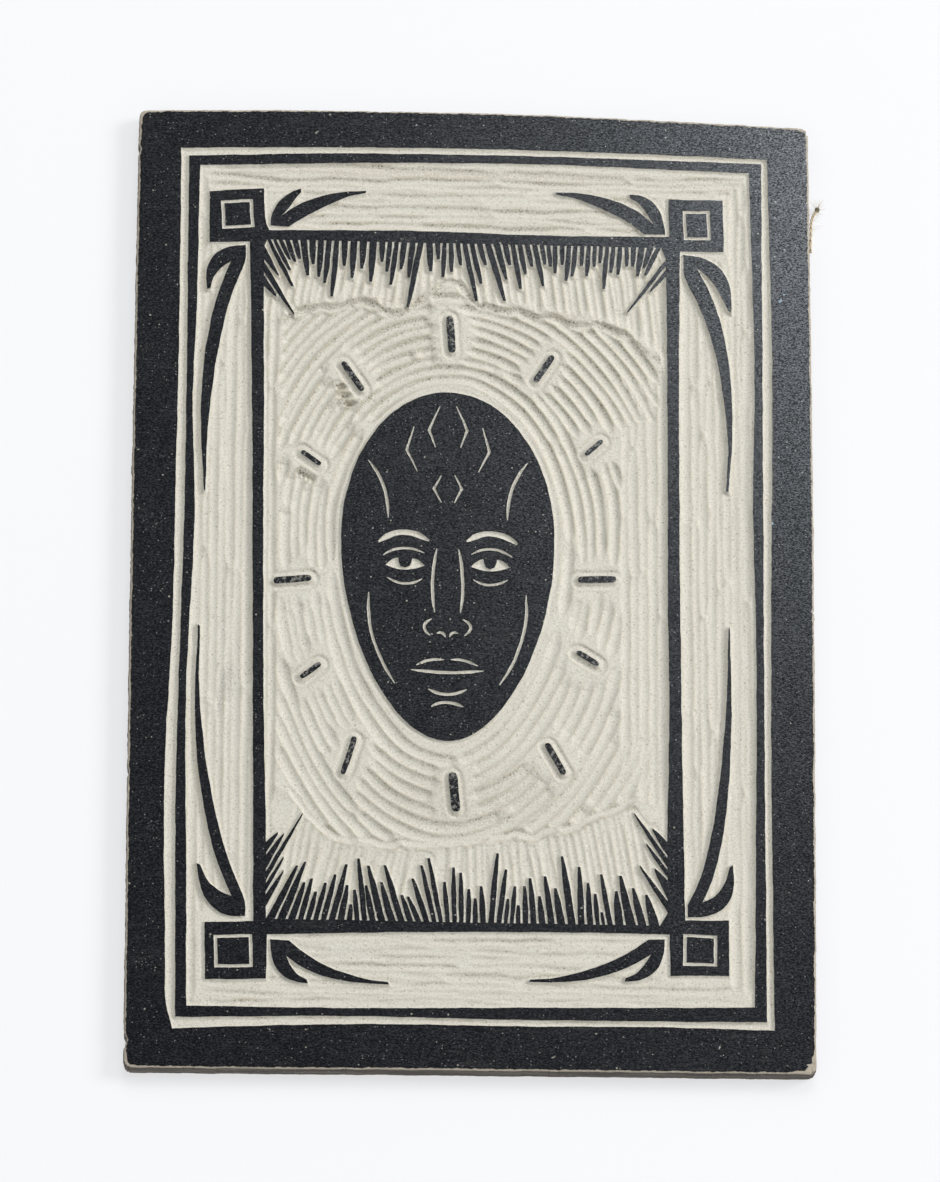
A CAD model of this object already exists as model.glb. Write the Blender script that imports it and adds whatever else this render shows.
"""Looks of a carved linoleum printing plate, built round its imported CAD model.

The plate lies on its back at the origin, its printing face up. Everything below is worked out
in millimetres and turned into metres where a mesh is made. The outlines of the raised areas
come from the CAD nodes. The gouge marks between them are strokes: centre lines with a width
and a depth, pressed into a fine grid.
"""
import math

import bmesh
import bpy
import numpy as np
from mathutils import Matrix, Vector


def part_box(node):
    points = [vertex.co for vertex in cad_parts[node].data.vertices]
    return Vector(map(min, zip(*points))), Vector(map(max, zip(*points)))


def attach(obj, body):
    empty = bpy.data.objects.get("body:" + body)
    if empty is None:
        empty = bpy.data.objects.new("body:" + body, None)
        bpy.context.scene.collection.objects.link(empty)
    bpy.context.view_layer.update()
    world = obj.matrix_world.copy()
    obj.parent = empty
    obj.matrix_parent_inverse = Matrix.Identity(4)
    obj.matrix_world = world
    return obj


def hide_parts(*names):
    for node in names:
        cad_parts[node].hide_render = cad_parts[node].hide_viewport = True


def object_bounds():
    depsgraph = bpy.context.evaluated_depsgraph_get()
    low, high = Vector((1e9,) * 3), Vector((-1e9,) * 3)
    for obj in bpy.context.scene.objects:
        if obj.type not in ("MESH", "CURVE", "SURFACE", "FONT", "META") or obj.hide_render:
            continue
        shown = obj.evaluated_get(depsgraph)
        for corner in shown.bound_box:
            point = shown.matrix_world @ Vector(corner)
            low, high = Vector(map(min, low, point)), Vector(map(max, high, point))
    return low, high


MM = 0.001

# Outlines: how finely they are drawn and how unsteady the hand was
OUTLINE_STEP = 0.25
CORNER_TURN = math.radians(24)
HAND_WAVES = ((0.028, 7.0), (0.018, 2.6), (0.012, 1.1))
WORN_EDGE = 0.07

# Nicks in the edge of the plate: (x, y, radius, depth)
NICKS = ((-51.0, 70.2, 0.9, 0.28), (-51.1, -72.4, 1.1, 0.4), (51.1, -3.0, 0.7, 0.2),
         (-51.2, -30.5, 0.8, 0.16))

# The grid that is carved
FINE = 0.2
COARSE = 0.8
FINE_HALF_X = 46.4
FINE_HALF_Y = 72.2
EDGE_BAND = 1.6

# The worn rim and the rough sides of the plate
RIM_WIDTH = 1.4
LIP_WIDTH = 0.28
LIP_DEPTH = 0.14
SIDE_ROWS = 7
SIDE_BULGE = 0.05

# Walls and floors of the cuts
WALL_SLOPE = 1.9
REACH = 1.35
CHANNEL_CENTRE = 0.5
CHANNEL_HALF = 0.6
CHANNEL_DEPTH = 0.32
FIELD_BASE = 0.25
STROKE_ROUND = 0.64
RIPPLE = 0.012
GROOVE_BASE = 0.33
GROOVE_FLOOR = 0.41
LINE_FLOOR = 0.29
GRAIN = 0.005
SLOPE_GRAIN = 0.009

# The rings round the head, and how far down the head is widest
HEAD_WIDEST = 0.42
RING_START = 2.3
RING_PITCH = 1.66
RING_COUNT = 16
RING_HALF_WIDTH = 0.98
RING_DEPTH = 0.78
LOWER_RINGS = 1.28
LEFT_RINGS = 0.8
MARK_CLEARANCE = 2.05
HALO_CENTRE = 1.15
HALO_HALF = 0.64
HALO_DEPTH = 0.47

# Where the strokes of the fringes end and the rings begin, from left to right
TOP_RIDGE = (
    (-31.5, 41.0), (-28.5, 44.2), (-26, 45.2), (-20, 45.8), (-17, 46.8), (-14, 45.8), (-10, 44.7),
    (-8, 47.3), (-5, 49.7), (-3, 50.5), (-1, 49), (0, 46.4), (4, 45.9), (8, 45.6), (12, 44.6),
    (16, 43.6), (20, 43.2), (23, 42), (26, 39.5), (29.5, 37))
BOTTOM_RIDGE = (
    (-31, -31.5), (-26, -34.2), (-24.5, -37.5), (-22, -40), (-19, -41.6), (-10, -42), (-2, -41.6),
    (4, -40.5), (10, -40), (16, -38.5), (20, -36.5), (25, -34), (29.5, -31))
RIDGE_HEIGHT = 0.2
RIDGE_HALF_WIDTH = 1.0
LEFT_STRIP = -29.6
RIGHT_STRIP = 22.4
FIELD_RIGHT = 28.4

# Strips of long strokes: x from and to, y from and to, pitch, depth
UPRIGHT_STRIPS = (
    (-31.3, LEFT_STRIP + 0.3, -36, 44, 1.0, 0.66), (RIGHT_STRIP + 0.4, 29.2, -34, 36, 1.35, 0.68),
    (-41.3, -33.6, -53, 55, 1.22, 0.66), (32.2, 41.9, -51, 54, 1.25, 0.66),
    (-41.4, -40.4, -66, 67, 1.2, 0.66), (39.2, 41.6, -65, 67, 1.2, 0.66))
LEVEL_STRIPS = (
    (-41, 41.5, 64.8, 68.6, 1.36, 0.6), (-30, 28.6, 58.4, 64.6, 1.3, 0.6),
    (-29, 28, -65.8, -56.0, 1.33, 0.48), (-41, 41, -66.2, -63.4, 1.3, 0.48))

# Short nicks where the gouge chattered: x, y, angle and skew in degrees, count, half length, gap
NICK_HALF_WIDTH = 0.42
NICK_DEPTH = 1.1
CHATTER = ((-19.4, 30.5, 8, 18, 3, 1.0, 1.5), (-25.2, 17.4, 64, 0, 4, 0.65, 0.75))

# The jute: weave of the back, and the yarn that has come loose from it
WEAVE_PITCH = 1.75
WEAVE_STEP = 0.35
WEAVE_RELIEF = 0.42
YARN_ROUTE = (
    (51.45, 56.6, 0.35), (51.48, 59.2, 0.35), (51.52, 60.8, 0.40), (51.65, 62.0, 0.45),
    (51.95, 62.8, 0.55), (52.25, 63.3, 0.60), (52.50, 63.6, 0.60))
YARN_KNOT = (52.5, 63.65, 0.62)
YARN_TWIST = 5.2
PLY_OFFSET = 0.11
PLY_RADIUS = 0.13
KNOT_RADIUS = 0.26
WRAP_RADIUS = 0.12
FIBRE_COUNT = 26
FIBRE_RADIUS = 0.028

# Marks on the plate: x, y, half length, half width, angle in degrees, strength, colour
SCUFF = (0.30, 0.31, 0.33)
PALE = (0.55, 0.52, 0.45)
SKY = (0.36, 0.50, 0.62)
SMEAR = (0.16, 0.16, 0.17)
CORK = (0.40, 0.33, 0.24)
INK_SPOTS = (
    (46.5, 47.3, 0.45, 0.28, 60, 0.9, SKY), (47.1, 48.4, 0.3, 0.2, 20, 0.7, SKY),
    (45, 11, 0.3, 0.22, 80, 0.8, SKY), (-50.4, 20.9, 0.25, 0.14, 10, 0.8, PALE),
    (36.5, -72, 0.5, 0.16, 70, 0.8, PALE), (48.2, 72.4, 0.3, 0.25, 0, 0.4, SCUFF),
    (12, -74, 0.5, 0.2, 30, 0.5, PALE), (-24, 73.6, 0.5, 0.2, 40, 0.5, PALE))
INK_SCUFFS = (
    (-47, -39, 1.6, 1.2, 10, 0.4, SCUFF), (48.4, 69.3, 4.2, 0.16, 17, 0.7, SCUFF),
    (47.2, 0.4, 3.4, 0.14, 2, 0.5, SCUFF), (48.6, 72.3, 4, 0.9, 3, 0.4, SCUFF),
    (46, 75, 7, 1, -4, 0.3, SCUFF), (45.3, 74.4, 2.4, 0.14, 90, 0.6, SCUFF),
    (42.5, 68.8, 4, 0.13, 90, 0.6, SCUFF), (43, 64, 5, 2, 80, 0.25, SCUFF),
    (48.5, 62, 4, 3, 12, 0.25, SCUFF), (46.9, 53.2, 4, 2, -5, 0.2, SCUFF),
    (-48.6, -60.5, 2.6, 0.8, 5, 0.3, SCUFF), (30, 73, 9, 1.6, 2, 0.2, SCUFF),
    (-10.2, 56.3, 1.8, 0.5, 8, 0.45, PALE), (-48, 10, 3.2, 1.6, 0, 0.2, SCUFF),
    (-47.5, 20, 3.4, 0.4, 2, 0.3, SCUFF), (-47.5, -22, 3.4, 0.5, -3, 0.3, SCUFF),
    (31, -55, 2, 5, 0, 0.2, SCUFF))
LINO_STAINS = (
    (-3, -33.5, 21, 7.5, 0, 0.38, (0.47, 0.43, 0.35)), (-36.5, -16, 1.6, 4.5, 0, 0.3, SMEAR),
    (-36.4, -43.5, 2, 1.4, 0, 0.22, SMEAR), (-37.8, -19, 0.5, 3, 0, 0.3, SMEAR),
    (0, 67.2, 44, 1, 0, 0.3, CORK), (-12, 46.2, 9, 0.8, 0, 0.35, CORK),
    (14, 44.2, 8, 0.8, 0, 0.3, CORK))

# The camera and the light: angles in radians, places and sizes in metres, the aim in millimetres
CAMERA_DISTANCE = 1.4049
CAMERA_ELEVATION = math.radians(68.58)
CAMERA_AZIMUTH = math.radians(-6.89)
CAMERA_ROLL = math.radians(0.16)
CAMERA_AIM = (-0.46, -0.86)
CAMERA_LENS = 359.8
CAMERA_SENSOR = 36.0
FLOOR_HALF = 3.0
LAMPS = (
    ("key", (1.35, 0.32, 1.10), 0.80, 18.5, (1.0, 0.985, 0.96)),
    ("window", (0.10, 1.30, 1.75), 1.1, 12.5, (1.0, 0.99, 0.97)),
    ("fill", (-0.5, -0.9, 1.0), 1.0, 1.2, (1.0, 1.0, 1.0)),
    ("sheen", (0.135, 0.215, 0.30), 0.06, 2.75, (0.87, 0.94, 1.0)))


# ---------------- outlines

def top_loops(cad_node):
    """The outlines of a CAD node's top face, outer ones counter-clockwise, holes clockwise."""
    mesh = cad_node.data
    points = np.empty(len(mesh.vertices) * 3)
    mesh.vertices.foreach_get("co", points)
    points = points.reshape(-1, 3) / MM
    level = points[:, 2].max() - 0.005
    keys = [(round(x, 3), round(y, 3)) for x, y in points[:, :2]]
    edges = set()
    mesh.calc_loop_triangles()
    for triangle in mesh.loop_triangles:
        corners = list(triangle.vertices)
        if min(points[i, 2] for i in corners) > level:
            for a, b in zip(corners, corners[1:] + corners[:1]):
                edges.add((keys[a], keys[b]))
    following = {a: b for a, b in sorted(edges) if (b, a) not in edges}
    loops = []
    while following:
        loops.append(np.array(follow(following, min(following))))
    return loops


def follow(following, point):
    """The chain of points that starts at a point, taken out of a table of next points."""
    chain = []
    while point in following:
        chain.append(point)
        point = following.pop(point)
    return chain


def area(loop):
    """The area inside a loop, negative when it runs clockwise."""
    x, y = loop[:, 0], loop[:, 1]
    return 0.5 * np.sum(x * np.roll(y, -1) - np.roll(x, -1) * y)


def unit(vectors):
    """Each row scaled to length 1."""
    return vectors / (np.linalg.norm(vectors, axis=1)[:, None] + 1e-9)


def outward(loop):
    """The outward direction at each point of a counter-clockwise loop."""
    along = np.roll(loop, -1, 0) - np.roll(loop, 1, 0)
    return unit(np.stack([along[:, 1], -along[:, 0]], 1))


def smooth_outline(loop):
    """The outline in short steps: true corners stay sharp, gentle turns become curves."""
    ahead = np.roll(loop, -1, 0) - loop
    length = np.linalg.norm(ahead, axis=1)
    direction = ahead / length[:, None]
    before = np.roll(direction, 1, 0)
    turn = np.arccos(np.clip((direction * before).sum(1), -1, 1))
    tangent = unit(direction + before)
    points = []
    for i in range(len(loop)):
        j = (i + 1) % len(loop)
        start = direction[i] if turn[i] > CORNER_TURN else tangent[i]
        end = direction[i] if turn[j] > CORNER_TURN else tangent[j]
        start = start * min(length[i], 1.5 * length[i - 1])
        end = end * min(length[i], 1.5 * length[j])
        count = max(1, round(length[i] / OUTLINE_STEP))
        t = (np.arange(count) / count)[:, None]
        points.append((2 * t**3 - 3 * t**2 + 1) * loop[i] + (t**3 - 2 * t**2 + t) * start
                      + (3 * t**2 - 2 * t**3) * loop[j] + (t**3 - t**2) * end)
    return np.concatenate(points)


def waves(x, y, terms, phase):
    """A smooth random-looking field: each term is (height, wavelength)."""
    total = np.zeros_like(x)
    for i, (height, wavelength) in enumerate(terms):
        k = 2 * math.pi / wavelength
        for turn in (0.4, 1.5, 2.6):
            angle = turn + phase + 0.7 * i
            along = x * math.cos(angle) + y * math.sin(angle)
            total = total + height / 1.7 * np.sin(k * along + 5.1 * phase + 2.3 * i + 9 * turn)
    return total


def by_hand(points):
    """The points moved by the unsteadiness of the hand that cut them."""
    x, y = points[:, 0], points[:, 1]
    dx = waves(x, y, HAND_WAVES, 0.3)
    dy = waves(x, y, HAND_WAVES, 1.9)
    for nick_x, nick_y, radius, depth in NICKS:
        near = np.exp(-((x - nick_x) ** 2 + (y - nick_y) ** 2) / (radius * 0.6) ** 2)
        dx = dx - math.copysign(depth, nick_x) * near
    return np.stack([x + dx, y + dy], 1)


def outlines(cad_node):
    """The outlines of a CAD node's top face as a hand cuts them."""
    return [by_hand(smooth_outline(loop)) for loop in top_loops(cad_node)]


def largest(loops):
    """The loop with the largest area."""
    return max(loops, key=lambda loop: abs(area(loop)))


# ---------------- fields on the grid

def grid_lines(low, high, fine_half):
    """Grid lines, fine where the plate is carved and along its edge, coarse in the border."""
    stops = ((low - 2 * FINE, low + EDGE_BAND, FINE), (low + EDGE_BAND, -fine_half, COARSE),
             (-fine_half, fine_half, FINE), (fine_half, high - EDGE_BAND, COARSE),
             (high - EDGE_BAND, high + 2 * FINE, FINE))
    parts = []
    for start, end, step in stops:
        count = max(1, round((end - start) / step))
        parts.append(np.linspace(start, end, count, endpoint=False))
    return np.append(np.concatenate(parts), high + 2 * FINE)


def nearest_on(x, y, ax, ay, bx, by):
    """The point of a segment nearest to each (x, y), its share of the way along, and its distance."""
    dx, dy = bx - ax, by - ay
    t = np.clip(((x - ax) * dx + (y - ay) * dy) / (dx * dx + dy * dy), 0, 1)
    px, py = ax + t * dx, ay + t * dy
    return px, py, t, np.hypot(x - px, y - py)


class Grid:
    """Points where the grid lines xs and ys cross, and fields over them."""

    def __init__(self, xs, ys):
        self.xs, self.ys = xs, ys
        self.x, self.y = np.meshgrid(xs, ys)

    def window(self, ax, ay, bx, by, reach):
        """The part of the grid within reach of a segment, as two slices."""
        columns = np.searchsorted(self.xs, (min(ax, bx) - reach, max(ax, bx) + reach))
        rows = np.searchsorted(self.ys, (min(ay, by) - reach, max(ay, by) + reach))
        return slice(rows[0], rows[1]), slice(columns[0], columns[1])

    def inside(self, loops):
        """True at the grid points inside an odd number of the loops."""
        flips = np.zeros((len(self.ys), len(self.xs) + 1), np.int32)
        for loop in loops:
            following = np.roll(loop, -1, 0)
            for (ax, ay), (bx, by) in zip(loop, following):
                rows = np.arange(*np.searchsorted(self.ys, (min(ay, by), max(ay, by))))
                if len(rows):
                    crossing = ax + (self.ys[rows] - ay) * (bx - ax) / (by - ay)
                    flips[rows, np.searchsorted(self.xs, crossing)] += 1
        return (np.cumsum(flips, 1)[:, :-1] % 2).astype(bool)

    def nearest(self, loops, reach):
        """Distance to the nearest outline, up to reach, and the nearest point on it."""
        distance = np.full(self.x.shape, reach)
        near_x, near_y = self.x.copy(), self.y.copy()
        for loop in loops:
            following = np.roll(loop, -1, 0)
            for (ax, ay), (bx, by) in zip(loop, following):
                part = self.window(ax, ay, bx, by, reach)
                px, py, _, gap = nearest_on(self.x[part], self.y[part], ax, ay, bx, by)
                closer = gap < distance[part]
                distance[part] = np.where(closer, gap, distance[part])
                near_x[part] = np.where(closer, px, near_x[part])
                near_y[part] = np.where(closer, py, near_y[part])
        return distance, near_x, near_y

    def press(self, depth, line, half_width, bottom):
        """Press one stroke of a round gouge into the depth field. bottom is its depth along the line."""
        for (ax, ay), (bx, by), start, end in zip(line, line[1:], bottom, bottom[1:]):
            length = math.hypot(bx - ax, by - ay)
            if length < 1e-6 or max(start, end) <= 0:
                continue
            part = self.window(ax, ay, bx, by, half_width)
            x, y = self.x[part], self.y[part]
            _, _, t, gap = nearest_on(x, y, ax, ay, bx, by)
            side = ((x - ax) * (by - ay) - (y - ay) * (bx - ax)) / length
            floor = start + (end - start) * t - STROKE_ROUND * (gap / half_width) ** 2
            floor = floor + RIPPLE * np.sin(side * 14)
            depth[part] = np.maximum(depth[part], np.where(gap < half_width, floor, 0))


# ---------------- strokes

def polyline(points, step=0.6):
    """The points joined by straight lines, in short steps."""
    points = np.asarray(points, float)
    parts = []
    for a, b in zip(points, points[1:]):
        count = max(1, round(np.linalg.norm(b - a) / step))
        parts.append(a + (b - a) * (np.arange(count) / count)[:, None])
    return np.concatenate(parts + [points[-1:]])


def run_along(line):
    """Distance along a line from its start to each of its points."""
    return np.append(0, np.cumsum(np.linalg.norm(np.diff(line, axis=0), axis=1)))


def stroke_depth(line, bottom, dive_length, rng):
    """Depth along a stroke: the gouge dives in and comes out again, with a little play."""
    run = run_along(line)
    total = max(run[-1], 1e-6)
    dive = np.clip(run / dive_length, 0, 1) ** 0.5 * np.clip((total - run) / dive_length, 0, 1) ** 0.7
    play = 0.025 * np.sin(run * rng.uniform(0.5, 0.9) + rng.uniform(0, 6)) + rng.uniform(-0.04, 0.04)
    return bottom * (0.5 + 0.5 * dive) + play


def broken(line, allowed):
    """The stretches of a line where allowed is true, each as an array of points."""
    cuts = np.flatnonzero(np.diff(allowed.astype(int))) + 1
    parts = zip(np.split(line, cuts), np.split(allowed, cuts))
    return [part for part, good in parts if good[0] and len(part) > 2]


def shortened(line, rng, shortest, longest, sway=0.12):
    """A long line cut into strokes of the length a hand makes, overlapping a little."""
    run = run_along(line)
    pieces, start = [], 0.0
    while start < run[-1] - 1.5:
        end = start + rng.uniform(shortest, longest)
        if run[-1] - end < 4.0:
            end = run[-1]
        keep = line[(run >= start) & (run <= end)]
        if len(keep) > 2:
            pieces.append(keep + rng.uniform(-sway, sway, 2))
        start = end - rng.uniform(0.2, 1.2)
    return pieces


def gap_to_marks(points, marks):
    """Distance from each point to the nearest hour mark, given by its end points."""
    x, y = points.T
    return np.min([nearest_on(x, y, *a, *b)[3] for a, b in marks], axis=0)


def mark_spines(nodes):
    """End points of each hour mark's centre line, from its outline."""
    spines = []
    for number in range(1, 13):
        loop = largest(top_loops(nodes[f"ink_hour_mark_{number:02d}"]))
        middle = (loop.max(0) + loop.min(0)) / 2
        reach = loop - middle
        far = reach[np.argmax(np.linalg.norm(reach, axis=1))]
        half = far * 0.86
        spines.append((middle - half, middle + half))
    return spines


def ring_strokes(head, marks, rng):
    """Strokes that follow the head at growing distances and stop short of the hour marks."""
    low, high = head.min(0), head.max(0)
    centre_x = (low[0] + high[0]) / 2
    half = (high[0] - low[0]) / 2
    widest = high[1] - HEAD_WIDEST * (high[1] - low[1])
    strokes = []
    for ring in range(RING_COUNT):
        out = RING_START + RING_PITCH * ring + rng.uniform(-0.1, 0.1)
        angles = np.linspace(0, 2 * math.pi, 90 + 12 * ring) + 0.6 * ring
        reach_x = half + out * np.where(np.cos(angles) < 0, LEFT_RINGS, 1)
        reach_y = np.where(np.sin(angles) > 0, high[1] - widest + out, widest - low[1] + out * LOWER_RINGS)
        drift = waves(np.cos(angles) * 9, np.sin(angles) * 9, ((0.22, 9.0), (0.1, 4.0)), ring * 1.3)
        line = np.stack([centre_x + (reach_x + drift) * np.cos(angles),
                         widest + (reach_y + drift) * np.sin(angles)], 1)
        x, y = line.T
        allowed = gap_to_marks(line, marks) > MARK_CLEARANCE + rng.uniform(-0.1, 0.35)
        allowed &= y < ridge_line(TOP_RIDGE, x) - 1.0
        allowed &= y > ridge_line(BOTTOM_RIDGE, x) + 0.9
        allowed &= x > LEFT_STRIP + 0.5
        allowed &= (x < RIGHT_STRIP - 0.3) | (y > 24 + 0.5 * (x - RIGHT_STRIP)) | (y < -22)
        allowed &= x < 28.3
        for stretch in broken(line, allowed):
            for piece in shortened(stretch, rng, 22, 70, 0.05):
                low_share = np.clip(0.5 - piece[:, 1].mean() / 24, 0, 1)
                left_share = np.clip((centre_x - piece[:, 0].mean()) / 14, 0, 1)
                left_share *= np.clip(1.5 - abs(piece[:, 1].mean() + 3) / 14, 0, 1)
                half_width = RING_HALF_WIDTH * (1 + (LOWER_RINGS - 1) * low_share + 0.15 * left_share)
                strokes.append((piece, half_width, RING_DEPTH * (1 - 0.12 * low_share), 0.8))
    return strokes


def fringe_strokes(rng):
    """Strokes that come out of the cuts between the spikes and end at the ridge."""
    strokes = []
    for x in np.arange(-30.6, 28.6, 1.12):
        x = x + rng.uniform(-0.2, 0.2)
        lean = 0.28 * math.sin((x + 2) / 20) + rng.uniform(-0.05, 0.05)
        end_x = x + lean * 8
        end_y = ridge_line(TOP_RIDGE, end_x) + rng.uniform(0.3, 1.0)
        if end_y < 53.0:
            strokes.append((polyline([(x, 54.6), ((x + end_x) / 2, 50.5), (end_x, end_y)]), 0.9, 0.64, 1.2))
    for x in np.arange(-29.8, 28.4, 1.2):
        x = x + rng.uniform(-0.2, 0.2)
        lean = -0.42 * math.sin(x / 22) + rng.uniform(-0.05, 0.05)
        end_x = x + lean * 9
        end_y = ridge_line(BOTTOM_RIDGE, end_x) - rng.uniform(0.3, 0.9)
        strokes.append((polyline([(x, -51.8), ((x + end_x) / 2, -47), (end_x, end_y)]), 1.0, 0.54, 3.2))
    return strokes


def upright_strokes(low_x, high_x, low_y, high_y, pitch, depth, rng):
    """Long strokes up and down a strip."""
    strokes = []
    for x in np.arange(low_x, high_x, pitch):
        ys = np.arange(low_y + rng.uniform(0, 2), high_y, 0.8)
        xs = x + waves(ys * 0, ys, ((0.16, 33.0), (0.07, 11.0)), x) + rng.uniform(-0.12, 0.12)
        line = np.stack([xs, ys], 1)
        for piece in shortened(line, rng, 20, 60):
            strokes.append((piece, pitch * rng.uniform(0.8, 1.1), depth * rng.uniform(0.82, 1.05), 2.2))
    return strokes


def level_strokes(low_x, high_x, low_y, high_y, pitch, depth, rng):
    """Long wavy strokes across a strip."""
    strokes = []
    for y in np.arange(low_y, high_y, pitch):
        xs = np.arange(low_x + rng.uniform(0, 2), high_x, 0.8)
        ys = y + waves(xs, xs * 0, ((0.35, 38.0), (0.22, 14.0), (0.07, 5.0)), y) + rng.uniform(-0.3, 0.3)
        line = np.stack([xs, ys], 1)
        for piece in shortened(line, rng, 18, 50):
            strokes.append((piece, pitch * rng.uniform(0.62, 0.95), depth * rng.uniform(0.75, 1.1), 2.2))
    return strokes


def ridge_line(ridge, x):
    """Height of a ridge over the width of the field: its points joined smoothly, with a little wander."""
    xs, ys = np.array(ridge).T
    smooth = sum(np.interp(x + shift, xs, ys) for shift in (-1.2, -0.6, 0.0, 0.6, 1.2)) / 5
    return smooth + waves(x, x * 0, ((0.25, 5.2), (0.14, 2.1)), 0.9)


def ridge_strokes(rng):
    """Strokes along the inner side of the two ridges."""
    strokes = []
    xs = np.arange(-27, 24.5, 0.6)
    for ridge, side in ((TOP_RIDGE, 1), (BOTTOM_RIDGE, -1)):
        line = np.stack([xs, ridge_line(ridge, xs) - side * 1.1], 1)
        strokes += [(piece, 0.95, 0.66, 1.5) for piece in shortened(line, rng, 7, 16, 0.18)]
    return strokes


def heading(degrees):
    """The direction at an angle from the x axis."""
    return np.array([math.cos(math.radians(degrees)), math.sin(math.radians(degrees))])


def chatter_strokes():
    """Short deep nicks side by side."""
    strokes = []
    for x, y, angle, skew, count, half_length, gap in CHATTER:
        along = half_length * heading(angle)
        step = gap * heading(angle + skew + 90)
        for i in range(count):
            middle = np.array([x, y]) + step * (i - (count - 1) / 2)
            line = polyline([middle - along, middle + along])
            strokes.append((line, NICK_HALF_WIDTH, NICK_DEPTH, 0.5))
    return strokes


def all_strokes(head, marks):
    """Every stroke: its centre line, half width, depth, and the length over which it dives in."""
    rng = np.random.default_rng(11)
    strokes = ring_strokes(head, marks, rng) + fringe_strokes(rng) + ridge_strokes(rng) + chatter_strokes()
    for strip in UPRIGHT_STRIPS:
        strokes += upright_strokes(*strip, rng)
    for strip in LEVEL_STRIPS:
        strokes += level_strokes(*strip, rng)
    return strokes


# ---------------- the linoleum

def carve(grid, loops, nodes):
    """The depth of the cuts at every grid point, the distance to the nearest outline and that point."""
    distance, near_x, near_y = grid.nearest(loops, REACH)
    x, y = grid.x, grid.y
    depth = np.full(x.shape, FIELD_BASE) + waves(x, y, ((0.04, 9.0), (0.025, 3.7)), 0.8)
    for ridge, side in ((TOP_RIDGE, 1), (BOTTOM_RIDGE, -1)):
        crest = ridge_line(ridge, x)
        inner = (x > LEFT_STRIP) & (x < FIELD_RIGHT) & (y * side > 0)
        depth = depth - RIDGE_HEIGHT * np.exp(-((y - crest) / RIDGE_HALF_WIDTH) ** 2) * inner
    depth = np.maximum(depth, CHANNEL_DEPTH - 0.4 * ((distance - CHANNEL_CENTRE) / CHANNEL_HALF) ** 2)
    marks = mark_spines(nodes)
    head = largest(top_loops(nodes["ink_head"]))
    rng = np.random.default_rng(29)
    for line, half_width, bottom, dive_length in all_strokes(head, marks):
        grid.press(depth, line, half_width, stroke_depth(line, bottom, dive_length, rng))
    cut_halos(grid, depth, marks)
    return depth, distance, near_x, near_y


def cut_halos(grid, depth, marks):
    """Cut a round channel close about each hour mark, given by its end points."""
    for a, b in marks:
        part = grid.window(*a, *b, HALO_CENTRE + HALO_HALF)
        gap = nearest_on(grid.x[part], grid.y[part], *a, *b)[3]
        off = np.abs(gap - HALO_CENTRE) / HALO_HALF
        depth[part] = np.maximum(depth[part], np.where(off < 1, HALO_DEPTH - 0.5 * off**2, 0))


def region_floor(grid, depth, distance, nodes):
    """Shallower floors in the groove between the frames and in the thin lines of squares and head."""
    rule = largest(outlines(nodes["ink_rule_frame"]))
    groove = ~grid.inside([rule])
    round_groove = GROOVE_FLOOR - 0.9 * np.clip(0.42 - distance, 0, 1) ** 2
    depth = np.where(groove, np.clip(round_groove, GROOVE_BASE, GROOVE_FLOOR), depth)
    frame_holes = sorted(outlines(nodes["ink_inner_frame"]), key=lambda loop: abs(area(loop)))[:4]
    thin = grid.inside([largest(outlines(nodes["ink_head"]))] + frame_holes)
    return np.where(thin, LINE_FLOOR, depth)


def torn_sides(grid, depth):
    """How torn the floors are: most on slopes that face the plate's lower end, and below a ridge."""
    slope_y, slope_x = np.gradient(depth, grid.ys, grid.xs)
    below = grid.y - ridge_line(TOP_RIDGE, grid.x) + 0.7
    field = (grid.x > LEFT_STRIP) & (grid.x < FIELD_RIGHT)
    patchy = np.clip(0.5 + waves(grid.x, grid.y, ((0.9, 3.3), (0.7, 1.4)), 1.7), 0, 1)
    torn = 0.3 * np.hypot(slope_y, slope_x) - 0.8 * np.minimum(slope_y, 0)
    return np.clip(torn + 0.9 * patchy * field * np.exp(-(below / 0.55) ** 2), 0, 1)


def crests(grid, depth):
    """Where the floors of the cuts come up to a sharp crest between two strokes."""
    slope_y, slope_x = np.gradient(depth, grid.ys, grid.xs)
    bend = np.gradient(slope_y, grid.ys, axis=0) + np.gradient(slope_x, grid.xs, axis=1)
    return np.clip(bend / 4, 0, 1)


def heights(grid, nodes, loops, plate, top):
    """The grid points moved onto the outlines, which of them are kept, and fields of the floors."""
    depth, distance, near_x, near_y = carve(grid, loops, nodes)
    depth = region_floor(grid, depth, distance, nodes)
    torn, ridges = torn_sides(grid, depth), crests(grid, depth)
    raised = grid.inside(loops)
    rng = np.random.default_rng(5)
    grain = rng.normal(0, 1, depth.shape) * (GRAIN + SLOPE_GRAIN * torn)
    wall = distance * WALL_SLOPE
    blend = np.clip(0.5 + (depth - wall) / 0.2, 0, 1)
    cut = depth * (1 - blend) + wall * blend - 0.05 * blend * (1 - blend)
    cut = np.maximum(cut + grain * np.clip(cut * 3, 0, 1), 0)
    snapped = distance <= 0.5 * FINE
    cut = np.where(raised | snapped, 0, cut)
    x = np.where(snapped, near_x, grid.x)
    y = np.where(snapped, near_y, grid.y)
    kept = grid.inside([plate]) | (snapped & (grid.nearest([plate], FINE)[0] <= 0.5 * FINE))
    return x, y, top - cut, kept, snapped, cut, torn, ridges


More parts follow.
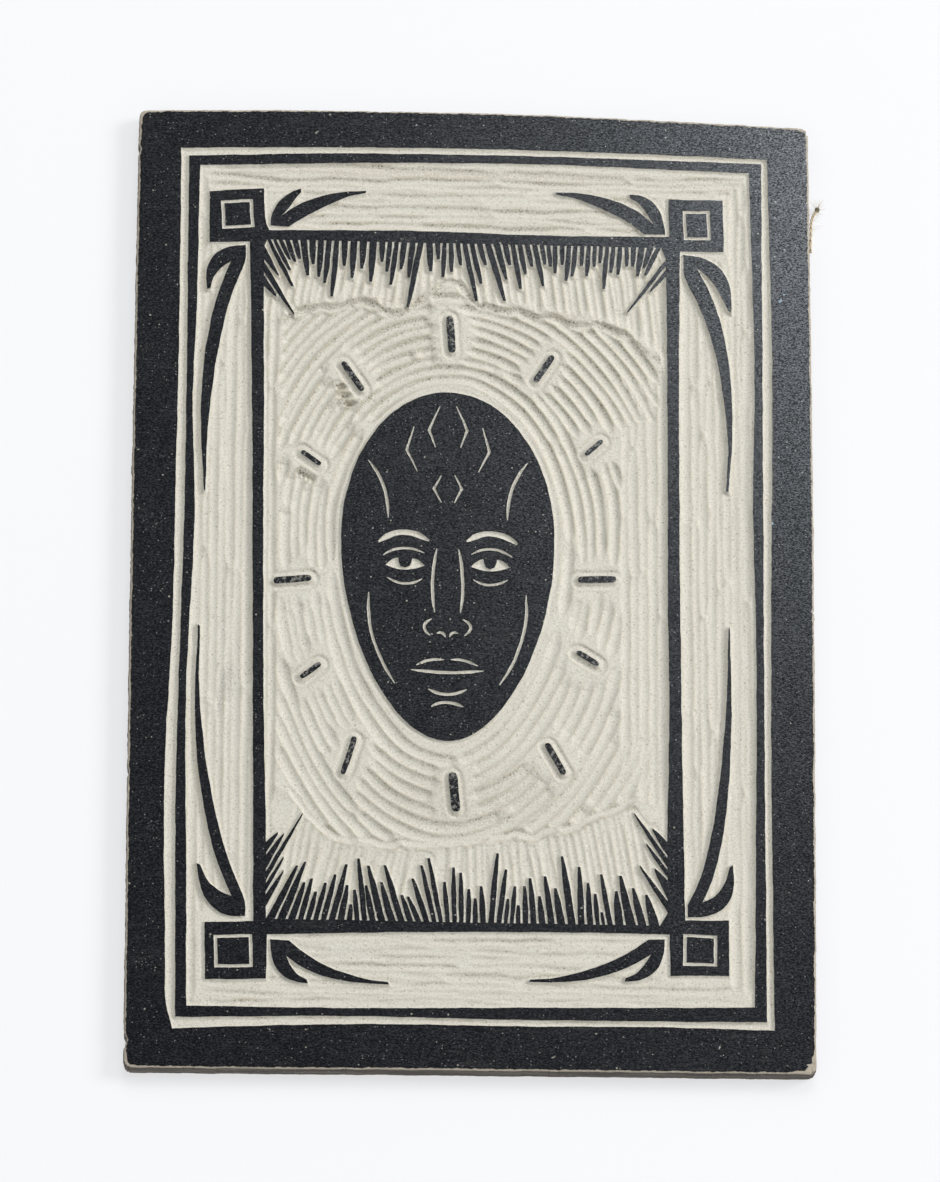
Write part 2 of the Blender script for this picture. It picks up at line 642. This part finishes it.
def lip(x, y, z, plate_distance):
    """Round and crumble the top edge of the plate, most at its lower right corner."""
    worn = np.clip(1 - plate_distance / LIP_WIDTH, 0, 1)
    z = z - LIP_DEPTH * worn**2 * (1 + 0.6 * waves(x, y, ((1.0, 3.1), (0.6, 1.3)), 2.2))
    crumbled = np.clip(1.25 - np.hypot(x - 50.9, y + 76.1) / 1.7, 0, 1)
    return z - crumbled * (0.5 + 0.25 * waves(x, y, ((1.0, 1.1), (0.7, 0.6)), 0.4))


def sheet_from_grid(x, y, z, kept, snapped):
    """A sheet of triangles over the kept grid points, and which grid points it uses."""
    quads = kept[:-1, :-1] & kept[1:, :-1] & kept[1:, 1:] & kept[:-1, 1:]
    used = np.zeros_like(kept)
    for row_part in (slice(0, -1), slice(1, None)):
        for column_part in (slice(0, -1), slice(1, None)):
            used[row_part, column_part] |= quads
    number = np.zeros(x.shape, int)
    number[used] = np.arange(used.sum())
    a, b = number[:-1, :-1][quads], number[:-1, 1:][quads]
    c, d = number[1:, 1:][quads], number[1:, :-1][quads]
    along = (snapped[:-1, :-1] & snapped[1:, 1:])[quads][:, None]
    first = np.where(along, np.stack([a, b, c], 1), np.stack([a, b, d], 1))
    second = np.where(along, np.stack([a, c, d], 1), np.stack([b, c, d], 1))
    return np.stack([x[used], y[used], z[used]], 1), np.concatenate([first, second]), used


def rim_loop(faces, count):
    """The point numbers round the open edge of a sheet of triangles, counter-clockwise."""
    edges = np.concatenate([faces[:, [0, 1]], faces[:, [1, 2]], faces[:, [2, 0]]])
    keys = edges[:, 0] * count + edges[:, 1]
    twins = edges[:, 1] * count + edges[:, 0]
    lonely = edges[~np.isin(keys, twins)]
    return np.array(follow(dict(lonely.tolist()), lonely[0, 0]))


def add_sides(points, faces, bottom, levels, bulge):
    """Side walls in several rows and a flat bottom, which close the sheet into a solid."""
    rim = rim_loop(faces, len(points))
    count, n = len(points), len(rim)
    top = points[rim]
    out = outward(top[:, :2])
    rows = []
    for level in range(1, levels + 1):
        share = level / levels
        z = top[:, 2] * (1 - share) + bottom * share
        rough = 1 + waves(top[:, 0], top[:, 1], ((0.8, 2.2), (0.6, 0.9)), level)
        swell = bulge * math.sin(math.pi * share) * rough
        rows.append(np.column_stack([top[:, :2] + out * swell[:, None], z]))
    middle = np.array([[top[:, 0].mean(), top[:, 1].mean(), bottom]])
    points = np.concatenate([points] + rows + [middle])
    rings = [rim] + [count + n * i + np.arange(n) for i in range(levels)]
    sides = []
    for upper, lower in zip(rings, rings[1:]):
        upper_next, lower_next = np.roll(upper, -1), np.roll(lower, -1)
        sides.append(np.stack([upper, lower, lower_next], 1))
        sides.append(np.stack([upper, lower_next, upper_next], 1))
    last = rings[-1]
    floor = np.stack([np.full(n, len(points) - 1), np.roll(last, -1), last], 1)
    return points, np.concatenate([faces] + sides + [floor])


def new_object(name, data):
    """An object made from data, in the scene."""
    made = bpy.data.objects.new(name, data)
    bpy.context.scene.collection.objects.link(made)
    return made


def mesh_object(name, points, faces):
    """A smooth-shaded mesh object from points in millimetres and triangles."""
    mesh = bpy.data.meshes.new(name)
    mesh.vertices.add(len(points))
    mesh.vertices.foreach_set("co", (np.asarray(points) * MM).ravel())
    mesh.loops.add(faces.size)
    mesh.loops.foreach_set("vertex_index", faces.astype(np.int32).ravel())
    mesh.polygons.add(len(faces))
    mesh.polygons.foreach_set("loop_start", np.arange(0, faces.size, 3, dtype=np.int32))
    mesh.polygons.foreach_set("use_smooth", np.ones(len(faces), bool))
    mesh.update()
    mesh.validate()
    return new_object(name, mesh)


def point_values(piece, name, field, used, beyond=0.0):
    """Store a grid field at a mesh's points for its material to read, and one value past the grid."""
    values = np.full(len(piece.data.vertices), beyond, np.float32)
    values[:used.sum()] = field[used]
    piece.data.attributes.new(name, "FLOAT", "POINT").data.foreach_set("value", values)


def box_mm(node_name):
    """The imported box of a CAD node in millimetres."""
    low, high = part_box(node_name)
    return np.array(low) / MM, np.array(high) / MM


def carved_lino(nodes):
    """The sheet of linoleum with every gouge mark, standing for its CAD node."""
    low, high = box_mm("lino_sheet")
    loops = outlines(nodes["lino_sheet"])
    plate = largest(loops)
    grid = Grid(grid_lines(low[0], high[0], FINE_HALF_X), grid_lines(low[1], high[1], FINE_HALF_Y))
    x, y, z, kept, snapped, cut, torn, ridges = heights(grid, nodes, loops, plate, high[2])
    to_edge = grid.nearest([plate], RIM_WIDTH)[0]
    z = lip(x, y, z, to_edge)
    points, faces, used = sheet_from_grid(x, y, z, kept, snapped)
    top_faces = len(faces)
    points, faces = add_sides(points, faces, low[2], SIDE_ROWS, SIDE_BULGE)
    lino = mesh_object("carved_linoleum", points, faces)
    point_values(lino, "cut_depth", cut, used)
    point_values(lino, "torn", torn, used)
    point_values(lino, "ridge", ridges, used)
    point_values(lino, "edge", np.clip(1 - to_edge / RIM_WIDTH, 0, 1), used, 1.0)
    lino.data.materials.append(lino_material())
    lino.data.materials.append(lino_edge_material())
    slots = np.zeros(len(lino.data.polygons), np.int32)
    slots[top_faces:] = 1
    lino.data.polygons.foreach_set("material_index", slots)
    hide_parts("lino_sheet")
    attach(lino, "root")


# ---------------- the jute

def weave(x, y):
    """Height of a plain weave from 0 to 1, and where the yarns along the plate lie on top."""
    u = x / WEAVE_PITCH + waves(x, y, ((0.10, 31.0), (0.06, 7.0)), 0.5)
    v = y / WEAVE_PITCH + waves(x, y, ((0.10, 27.0), (0.06, 8.0)), 1.4)
    i, j = np.floor(u), np.floor(v)
    width = 0.47 + 0.035 * np.sin(2.3 * i + 1.1 * j)
    upright = 0.28 * np.sin(math.pi * (v + i)) + 0.72 * yarn_round((u - i - 0.5) / width)
    level = -0.28 * np.sin(math.pi * (u + j)) + 0.72 * yarn_round((v - j - 0.5) / width)
    return np.maximum(np.maximum(upright, level), 0.1), (upright > level).astype(float)


def yarn_round(across):
    """Height of a round yarn, from its middle (0) to its sides (-1 and 1)."""
    return np.sqrt(np.clip(1 - across**2, 0, 1))


def woven_back(nodes):
    """The jute back: a weave that shows below and a flat face towards the linoleum."""
    low, high = box_mm("hessian_backing")
    loop = largest(outlines(nodes["hessian_backing"]))
    lines = [np.arange(a - WEAVE_STEP, b + 2 * WEAVE_STEP, WEAVE_STEP) for a, b in zip(low[:2], high[:2])]
    grid = Grid(*lines)
    distance, near_x, near_y = grid.nearest([loop], 1.0)
    snapped = distance <= 0.5 * WEAVE_STEP
    height, upright = weave(grid.x, grid.y)
    z = low[2] + WEAVE_RELIEF * (1 - height)
    x, y = np.where(snapped, near_x, grid.x), np.where(snapped, near_y, grid.y)
    points, faces, used = sheet_from_grid(x, y, -z, grid.inside([loop]) | snapped, snapped)
    points, faces = add_sides(points, faces, -high[2], 2, 0.03)
    points[:, 2] *= -1
    back = mesh_object("woven_jute_back", points, faces[:, ::-1])
    point_values(back, "upright", upright, used)
    point_values(back, "crest", height, used, 0.5)
    back.data.materials.append(jute_material())
    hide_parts("hessian_backing")
    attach(back, "root")


def tube(path, radii, sides=7):
    """Points and triangles of a closed tube along a path, in millimetres."""
    path = np.asarray(path, float)
    ahead = unit(np.gradient(path, axis=0))
    aside = unit(np.cross(ahead, (0.3, 0.2, 0.93)))
    up = np.cross(aside, ahead)
    angles = (2 * math.pi * np.arange(sides) / sides)[:, None]
    spokes = np.cos(angles) * aside[:, None] + np.sin(angles) * up[:, None]
    rings = path[:, None] + np.asarray(radii)[:, None, None] * spokes
    points = np.concatenate([rings.reshape(-1, 3), path[:1], path[-1:]])
    start, end = len(points) - 2, len(points) - 1
    faces = []
    for ring in range(len(path) - 1):
        for side in range(sides):
            a, b = ring * sides + side, ring * sides + (side + 1) % sides
            faces += [(a, a + sides, b), (b, a + sides, b + sides)]
    last = (len(path) - 1) * sides
    for side in range(sides):
        turn = (side + 1) % sides
        faces += [(start, side, turn), (end, last + turn, last + side)]
    return points, np.array(faces)


def twisted_plies(spine, steps):
    """The two plies of the yarn, turning about each other."""
    tubes = []
    for phase in (0.0, math.pi):
        twist = phase + YARN_TWIST * steps
        offset = np.stack([np.cos(twist), 0.3 * np.sin(twist), np.sin(twist)], 1) * PLY_OFFSET
        tubes.append(tube(spine + offset, PLY_RADIUS + 0.02 * np.sin(steps * 2.1 + phase)))
    return tubes


def knot_wraps(knot):
    """Three turns of yarn round the knot, each with its own lean."""
    tubes = []
    angles = np.linspace(0, 2 * math.pi, 22)
    aside, up = KNOT_RADIUS * np.cos(angles), KNOT_RADIUS * np.sin(angles)
    for wrap in range(3):
        lean = 0.9 * wrap
        ring = np.stack([aside, up * math.cos(lean) + 0.1 * (wrap - 1), up * math.sin(lean + 0.6)], 1)
        tubes.append(tube(knot + ring, np.full(22, WRAP_RADIUS)))
    return tubes


def stray_fibres(spine, knot):
    """Fine bent fibres that stand off the yarn and the knot."""
    rng = np.random.default_rng(17)
    tubes = []
    run = np.linspace(0, 1, 9)
    for fibre in range(FIBRE_COUNT):
        on_knot = fibre % 2
        root = knot if on_knot else spine[rng.integers(6, 56)]
        angle = rng.uniform(0.2, 2.5) if on_knot else rng.uniform(-0.3, 1.5)
        reach = rng.uniform(0.8, 2.2)
        bend = rng.uniform(-0.5, 0.5) * run**2
        x = root[0] + reach * run * math.cos(angle) - bend * math.sin(angle)
        y = root[1] + reach * run * math.sin(angle) + bend * math.cos(angle)
        z = root[2] + rng.uniform(-0.2, 0.9) * run * reach * 0.5
        tubes.append(tube(np.stack([x, y, np.maximum(z, 0.06)], 1), FIBRE_RADIUS * (1 - 0.7 * run), 4))
    return tubes


def frayed_yarn():
    """The loose yarn at the right edge: two twisted plies, a knot and stray fibres."""
    route, knot = np.array(YARN_ROUTE), np.array(YARN_KNOT)
    steps = np.linspace(0, len(route) - 1, 60)
    spine = np.stack([np.interp(steps, np.arange(len(route)), route[:, i]) for i in range(3)], 1)
    tubes = twisted_plies(spine, steps) + knot_wraps(knot) + stray_fibres(spine, knot)
    points, faces, count = [], [], 0
    for tube_points, tube_faces in tubes:
        points.append(tube_points)
        faces.append(tube_faces + count)
        count += len(tube_points)
    yarn = mesh_object("frayed_yarn", np.concatenate(points), np.concatenate(faces))
    yarn.data.materials.append(yarn_material())
    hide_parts("frayed_jute_yarn")
    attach(yarn, "root")


# ---------------- the ink

def worn_outline(loop):
    """The outer edge of the border's ink: ragged, and rubbed away at the corners of the plate."""
    x, y = loop.T
    loss = 0.06 + WORN_EDGE * np.clip(waves(x, y, ((0.5, 5.0), (0.6, 1.3), (0.5, 0.6)), 1.1), -1.0, 1.5)
    corners = ((-51, 76.5, 0.22), (51, 76, 0.16), (-51, -76.5, 0.2), (51, -76, 1.1))
    for corner_x, corner_y, amount in corners:
        near = np.exp(-((x - corner_x) ** 2 + (y - corner_y) ** 2) / 2.4**2)
        loss = loss + amount * near * (1 + 0.5 * waves(x, y, ((0.8, 1.3),), 0.2))
    return loop - outward(loop) * loss[:, None]


def film(name, loops, bottom, top, material):
    """A thin closed skin of ink: the first outline is its edge, the others are holes."""
    curve = bpy.data.curves.new(name, "CURVE")
    curve.dimensions = "2D"
    curve.fill_mode = "BOTH"
    curve.extrude = (top - bottom) / 2 * MM
    for loop in loops:
        spline = curve.splines.new("POLY")
        spline.points.add(len(loop) - 1)
        flat = np.column_stack([loop * MM, np.zeros(len(loop)), np.ones(len(loop))])
        spline.points.foreach_set("co", flat.ravel())
        spline.use_cyclic_u = True
    shape = new_object(name + "_outline", curve)
    bpy.context.view_layer.update()
    mesh = bpy.data.meshes.new_from_object(shape.evaluated_get(bpy.context.evaluated_depsgraph_get()))
    bpy.data.objects.remove(shape, do_unlink=True)
    piece = new_object(name, mesh)
    weld(piece, 0.002)
    mesh.transform(Matrix.Translation((0, 0, (bottom + top) / 2 * MM)))
    mesh.materials.clear()
    mesh.materials.append(material)
    return piece


def weld(piece, distance):
    """Join points closer than distance, in millimetres."""
    work = bmesh.new()
    work.from_mesh(piece.data)
    bmesh.ops.remove_doubles(work, verts=work.verts, dist=distance * MM)
    bmesh.ops.recalc_face_normals(work, faces=work.faces)
    work.to_mesh(piece.data)
    work.free()


def ink_films(nodes):
    """One film for each CAD ink node, with the hand-cut edges of the relief below it."""
    material, scuffed = ink_material("dried_ink"), ink_material("scuffed_ink", 0.6)
    lino_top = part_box("lino_sheet")[1].z / MM
    for node_name in sorted(nodes):
        if not node_name.startswith("ink_"):
            continue
        loops = outlines(nodes[node_name])
        loops.sort(key=lambda loop: -abs(area(loop)))
        if node_name == "ink_outer_border":
            loops[0] = worn_outline(loops[0])
        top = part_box(node_name)[1].z / MM
        coat = scuffed if "hour_mark" in node_name else material
        piece = film(node_name.replace("ink_", "inked_"), loops, lino_top, top, coat)
        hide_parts(node_name)
        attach(piece, "root")


# ---------------- materials

def new_material(name):
    """A material with its node tree and Principled shader."""
    material = bpy.data.materials.new(name)
    material.use_nodes = True
    tree = material.node_tree
    return material, tree, tree.nodes["Principled BSDF"]


def feed(tree, socket, value):
    """Link an input to another node's output, or set it to a number or a colour."""
    if isinstance(value, bpy.types.NodeSocket):
        tree.links.new(value, socket)
    else:
        socket.default_value = value


def add(tree, kind, **inputs):
    """A node with its inputs fed. An input is named, or i and its number."""
    made = tree.nodes.new(kind)
    for key, value in inputs.items():
        key = int(key[1:]) if key[0] == "i" and key[1:].isdigit() else key.replace("_", " ")
        feed(tree, made.inputs[key], value)
    return made


def math_node(tree, operation, a, b):
    """The result of one sum, product or comparison."""
    made = add(tree, "ShaderNodeMath", i0=a, i1=b)
    made.operation = operation
    return made.outputs[0]


def attribute(tree, name):
    """A value that is stored at the points of the mesh."""
    made = tree.nodes.new("ShaderNodeAttribute")
    made.attribute_name = name
    return made.outputs["Fac"]


def millimetres(tree, stretch):
    """Object coordinates in millimetres, stretched for streaks and long specks."""
    coordinates = tree.nodes.new("ShaderNodeTexCoord")
    scaled = add(tree, "ShaderNodeVectorMath", i0=coordinates.outputs["Object"])
    scaled.operation = "MULTIPLY"
    scaled.inputs[1].default_value = [s / MM for s in stretch]
    return scaled.outputs[0]


def noise(tree, size, detail=3.0, roughness=0.6, stretch=(1.0, 1.0, 1.0)):
    """Noise from 0 to 1 whose blotches are about size millimetres across."""
    place = millimetres(tree, stretch)
    made = add(tree, "ShaderNodeTexNoise", Vector=place, Scale=1 / size, Detail=detail, Roughness=roughness)
    return made.outputs[0]


def ramp(tree, value, low, high):
    """0 below low, 1 above high, smooth between."""
    made = add(tree, "ShaderNodeMapRange", Value=value, From_Min=low, From_Max=high)
    made.interpolation_type = "SMOOTHSTEP"
    return made.outputs[0]


def scaled(tree, value, low, high, new_low, new_high):
    """The value stretched so that low and high fall on new_low and new_high."""
    ends = {"From_Min": low, "From_Max": high, "To_Min": new_low, "To_Max": new_high}
    return add(tree, "ShaderNodeMapRange", Value=value, **ends).outputs[0]


def specks(tree, spacing, radius, share, stretch=(1.0, 1.0, 1.0)):
    """Round specks: about one per spacing squared, of which only a share is kept."""
    cells = add(tree, "ShaderNodeTexVoronoi", Vector=millimetres(tree, stretch), Scale=1 / spacing)
    chosen = add(tree, "ShaderNodeSeparateColor", Color=cells.outputs["Color"])
    size = math_node(tree, "MULTIPLY", chosen.outputs[1], radius / spacing)
    inside = math_node(tree, "LESS_THAN", cells.outputs["Distance"], size)
    kept = math_node(tree, "LESS_THAN", chosen.outputs[0], share)
    return math_node(tree, "MULTIPLY", inside, kept)


def mix(tree, factor, a, b):
    """Colour a where factor is 0, b where it is 1."""
    made = tree.nodes.new("ShaderNodeMix")
    made.data_type = "RGBA"
    feed(tree, made.inputs[0], factor)
    for socket, colour in ((made.inputs[6], a), (made.inputs[7], b)):
        feed(tree, socket, (*colour, 1.0) if isinstance(colour, tuple) else colour)
    return made.outputs[2]


def over(tree, tone, factor, share, colour):
    """The tone with a share of a colour laid over it where factor is 1."""
    return mix(tree, math_node(tree, "MULTIPLY", factor, share), tone, colour)


def surface(tree, shader, tone, roughness, specular=0.5):
    """Give the shader its colour, roughness and specular level."""
    feed(tree, shader.inputs["Base Color"], tone)
    feed(tree, shader.inputs["Roughness"], roughness)
    feed(tree, shader.inputs["Specular IOR Level"], specular)


def bump(tree, shader, height, distance, strength, below=None):
    """Give the shader a fine relief distance millimetres deep, on top of the one below it."""
    made = add(tree, "ShaderNodeBump", Height=height, Distance=distance * MM, Strength=strength)
    if below is not None:
        tree.links.new(below, made.inputs["Normal"])
    tree.links.new(made.outputs[0], shader.inputs["Normal"])
    return made.outputs[0]


def mark(tree, x, y, half_length, half_width, angle=0):
    """1 at a place on the plate, fading to 0 at the edge of an ellipse round it."""
    placed = add(tree, "ShaderNodeMapping", Vector=millimetres(tree, (1.0, 1.0, 1.0)))
    placed.vector_type = "TEXTURE"
    placed.inputs["Location"].default_value = (x, y, 0)
    placed.inputs["Rotation"].default_value = (0, 0, math.radians(angle))
    placed.inputs["Scale"].default_value = (half_length, half_width, 1000)
    length = add(tree, "ShaderNodeVectorMath", i0=placed.outputs[0])
    length.operation = "LENGTH"
    return math_node(tree, "SUBTRACT", 1.0, ramp(tree, length.outputs["Value"], 0.3, 1.0))


def paint_marks(tree, tone, marks, texture):
    """The colour with every mark of a table mixed in, broken up by a texture."""
    for x, y, half_length, half_width, angle, strength, colour in marks:
        shape = math_node(tree, "MULTIPLY", mark(tree, x, y, half_length, half_width, angle), texture)
        tone = over(tree, tone, shape, strength, colour)
    return tone


def ink_material(name, scuffed=0.0):
    """Dried black ink: blue-black, satin, with pale specks, roller streaks and scuffs."""
    material, tree, shader = new_material(name)
    fine = noise(tree, 0.21, 3.0, 0.7, stretch=(0.6, 1.0, 1.0))
    streaks = ramp(tree, noise(tree, 0.5, 4.0, 0.7, stretch=(0.1, 1.0, 1.0)), 0.5, 0.72)
    patches = ramp(tree, noise(tree, 7.0), 0.42, 0.66)
    streaks = math_node(tree, "MULTIPLY", streaks, patches)
    rubbed = ramp(tree, noise(tree, 0.5, 2.0), 0.5, 0.62)
    tone = mix(tree, noise(tree, 14.0), (0.0028, 0.0032, 0.0048), (0.0062, 0.0066, 0.0088))
    tone = over(tree, tone, ramp(tree, fine, 0.5, 0.64), 0.32, (0.050, 0.051, 0.060))
    tone = over(tree, tone, streaks, 0.3, (0.080, 0.080, 0.080))
    tone = over(tree, tone, specks(tree, 0.45, 0.11, 0.4), 0.42, (0.42, 0.41, 0.38))
    tone = over(tree, tone, specks(tree, 1.3, 0.16, 0.5), 0.55, PALE)
    tone = over(tree, tone, rubbed, scuffed, (0.30, 0.29, 0.26))
    tone = paint_marks(tree, tone, INK_SPOTS, ramp(tree, fine, 0.35, 0.5))
    tone = paint_marks(tree, tone, INK_SCUFFS, ramp(tree, fine, 0.53, 0.72))
    roughness = scaled(tree, noise(tree, 2.5, 5.0, 0.7), 0.0, 1.0, 0.27, 0.44)
    surface(tree, shader, tone, roughness, scaled(tree, fine, 0.4, 0.6, 0.03, 0.2))
    bump(tree, shader, fine, 0.05, 0.23)
    return material


def lino_material():
    """Freshly cut linoleum: cream, matte, full of fine cork and wood dust, roughest on the slopes."""
    material, tree, shader = new_material("cut_linoleum")
    deep = ramp(tree, attribute(tree, "cut_depth"), 0.86, 1.08)
    torn = ramp(tree, attribute(tree, "torn"), 0.2, 0.75)
    rim = ramp(tree, attribute(tree, "edge"), 0.1, 0.3)
    fine = noise(tree, 0.28, 3.0, 0.8)
    torn_grain = math_node(tree, "MULTIPLY", torn, ramp(tree, fine, 0.4, 0.54))
    chunks = math_node(tree, "MULTIPLY", specks(tree, 0.42, 0.21, 0.6), torn)
    flecks = specks(tree, 0.6, 0.16, 0.4, stretch=(1.1, 0.9, 1.0))
    tone = mix(tree, noise(tree, 9.0), (0.70, 0.668, 0.585), (0.76, 0.732, 0.655))
    tone = over(tree, tone, deep, 0.65, (0.23, 0.205, 0.16))
    tone = over(tree, tone, attribute(tree, "ridge"), 0.6, (0.46, 0.40, 0.27))
    tone = over(tree, tone, ramp(tree, fine, 0.48, 0.6), 0.6, (0.50, 0.465, 0.375))
    tone = over(tree, tone, torn_grain, 0.6, (0.36, 0.335, 0.25))
    tone = over(tree, tone, chunks, 0.75, (0.20, 0.16, 0.11))
    tone = over(tree, tone, specks(tree, 0.5, 0.17, 0.45), 0.42, (0.28, 0.23, 0.17))
    tone = over(tree, tone, flecks, 0.5, (0.90, 0.88, 0.80))
    tone = over(tree, tone, rim, 0.8, (0.40, 0.34, 0.265))
    tone = paint_marks(tree, tone, LINO_STAINS, ramp(tree, fine, 0.3, 0.65))
    surface(tree, shader, tone, 0.86, 0.25)
    coarse = bump(tree, shader, noise(tree, 0.5, 4.0, 0.7), 0.05, 0.5)
    bump(tree, shader, fine, 0.06, 1.0, coarse)
    return material


def jute_material():
    """Undyed jute: brown, matte, its fibres along each yarn, darker between the yarns."""
    material, tree, shader = new_material("jute_weave")
    along_x = noise(tree, 0.22, 4.0, 0.7, stretch=(0.25, 1.0, 1.0))
    along_y = noise(tree, 0.22, 4.0, 0.7, stretch=(1.0, 0.25, 1.0))
    fibres = add(tree, "ShaderNodeMix", i0=attribute(tree, "upright"), i2=along_x, i3=along_y).outputs[0]
    sunk = math_node(tree, "SUBTRACT", 1.0, ramp(tree, attribute(tree, "crest"), 0.1, 0.6))
    tone = mix(tree, noise(tree, 11.0), (0.33, 0.235, 0.135), (0.45, 0.335, 0.20))
    tone = over(tree, tone, ramp(tree, fibres, 0.35, 0.65), 0.55, (0.60, 0.48, 0.32))
    tone = over(tree, tone, sunk, 0.75, (0.16, 0.11, 0.06))
    surface(tree, shader, tone, 0.92, 0.2)
    bump(tree, shader, fibres, 0.09, 0.8)
    return material


def yarn_material():
    """Loose jute: straw-coloured, dull olive brown in the knot."""
    material, tree, shader = new_material("loose_jute")
    tone = mix(tree, noise(tree, 0.4, 3.0), (0.52, 0.42, 0.26), (0.74, 0.64, 0.44))
    tone = over(tree, tone, mark(tree, *YARN_KNOT[:2], 0.7, 0.6), 0.9, (0.13, 0.115, 0.06))
    surface(tree, shader, tone, 0.85)
    bump(tree, shader, noise(tree, 0.15, 3.0), 0.04, 0.7)
    return material


def lino_edge_material():
    """The cut side of the plate: brown-grey, with paler layers pressed into it."""
    material, tree, shader = new_material("linoleum_edge")
    layers = noise(tree, 0.9, 3.0, stretch=(0.06, 0.06, 1.6))
    tone = mix(tree, ramp(tree, layers, 0.4, 0.65), (0.078, 0.068, 0.059), (0.15, 0.133, 0.112))
    tone = over(tree, tone, specks(tree, 0.5, 0.12, 0.5), 0.5, (0.5, 0.46, 0.38))
    surface(tree, shader, tone, 0.9)
    bump(tree, shader, noise(tree, 0.3, 4.0), 0.08, 0.8)
    return material


# ---------------- stage

def camera(top):
    """The camera, with the plate's length upright in the picture."""
    flat = math.cos(CAMERA_ELEVATION)
    back = Vector((flat * math.sin(CAMERA_AZIMUTH), -flat * math.cos(CAMERA_AZIMUTH),
                   math.sin(CAMERA_ELEVATION)))
    right = Vector((0, 1, 0)).cross(back).normalized()
    turn = Matrix((right, back.cross(right), back)).transposed() @ Matrix.Rotation(CAMERA_ROLL, 3, "Z")
    aim = Vector((CAMERA_AIM[0] * MM, CAMERA_AIM[1] * MM, top))
    data = bpy.data.cameras.new("camera")
    data.lens = CAMERA_LENS
    data.sensor_width = CAMERA_SENSOR
    data.sensor_fit = "HORIZONTAL"
    data.clip_start = 0.01
    data.clip_end = 20
    holder = new_object("camera", data)
    holder.matrix_world = Matrix.Translation(aim + back * CAMERA_DISTANCE) @ turn.to_4x4()
    bpy.context.scene.camera = holder


def area_light(name, place, size, watts, colour):
    """A round softbox that faces the plate."""
    data = bpy.data.lights.new(name, "AREA")
    data.shape = "DISK"
    data.size = size
    data.energy = watts
    data.color = colour
    lamp = new_object(name, data)
    lamp.location = place
    lamp.rotation_euler = (-Vector(place)).to_track_quat("-Z", "Y").to_euler()
    return lamp


def stage():
    """A softly glowing white table, daylight all round and softboxes above."""
    mesh = bpy.data.meshes.new("floor")
    corners = [(x * FLOOR_HALF, y * FLOOR_HALF, 0) for x, y in ((-1, -1), (1, -1), (1, 1), (-1, 1))]
    mesh.from_pydata(corners, [], [(0, 1, 2, 3)])
    floor = new_object("floor", mesh)
    material, tree, shader = new_material("floor_white")
    surface(tree, shader, (0.36, 0.363, 0.372, 1), 0.9, 0.0)
    feed(tree, shader.inputs["Emission Color"], (0.98, 0.985, 1.0, 1))
    feed(tree, shader.inputs["Emission Strength"], 0.61)
    mesh.materials.append(material)
    world = bpy.data.worlds.new("daylight")
    world.use_nodes = True
    world.node_tree.nodes["Background"].inputs["Color"].default_value = (0.93, 0.965, 1.0, 1)
    world.node_tree.nodes["Background"].inputs["Strength"].default_value = 0.43
    bpy.context.scene.world = world
    lamps = {settings[0]: area_light(*settings) for settings in LAMPS}
    lamps["window"].visible_glossy = False
    lamps["sheen"].visible_diffuse = False
    bpy.context.scene.view_settings.view_transform = "Standard"


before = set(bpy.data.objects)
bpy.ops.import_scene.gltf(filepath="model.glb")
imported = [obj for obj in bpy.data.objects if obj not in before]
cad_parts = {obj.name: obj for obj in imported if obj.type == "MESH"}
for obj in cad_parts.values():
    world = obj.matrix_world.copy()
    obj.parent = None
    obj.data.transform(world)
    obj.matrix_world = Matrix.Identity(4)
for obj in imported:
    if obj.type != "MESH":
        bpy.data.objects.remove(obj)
cad_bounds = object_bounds()
carved_lino(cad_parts)
ink_films(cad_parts)
woven_back(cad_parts)
frayed_yarn()
camera(cad_bounds[1].z)
stage()
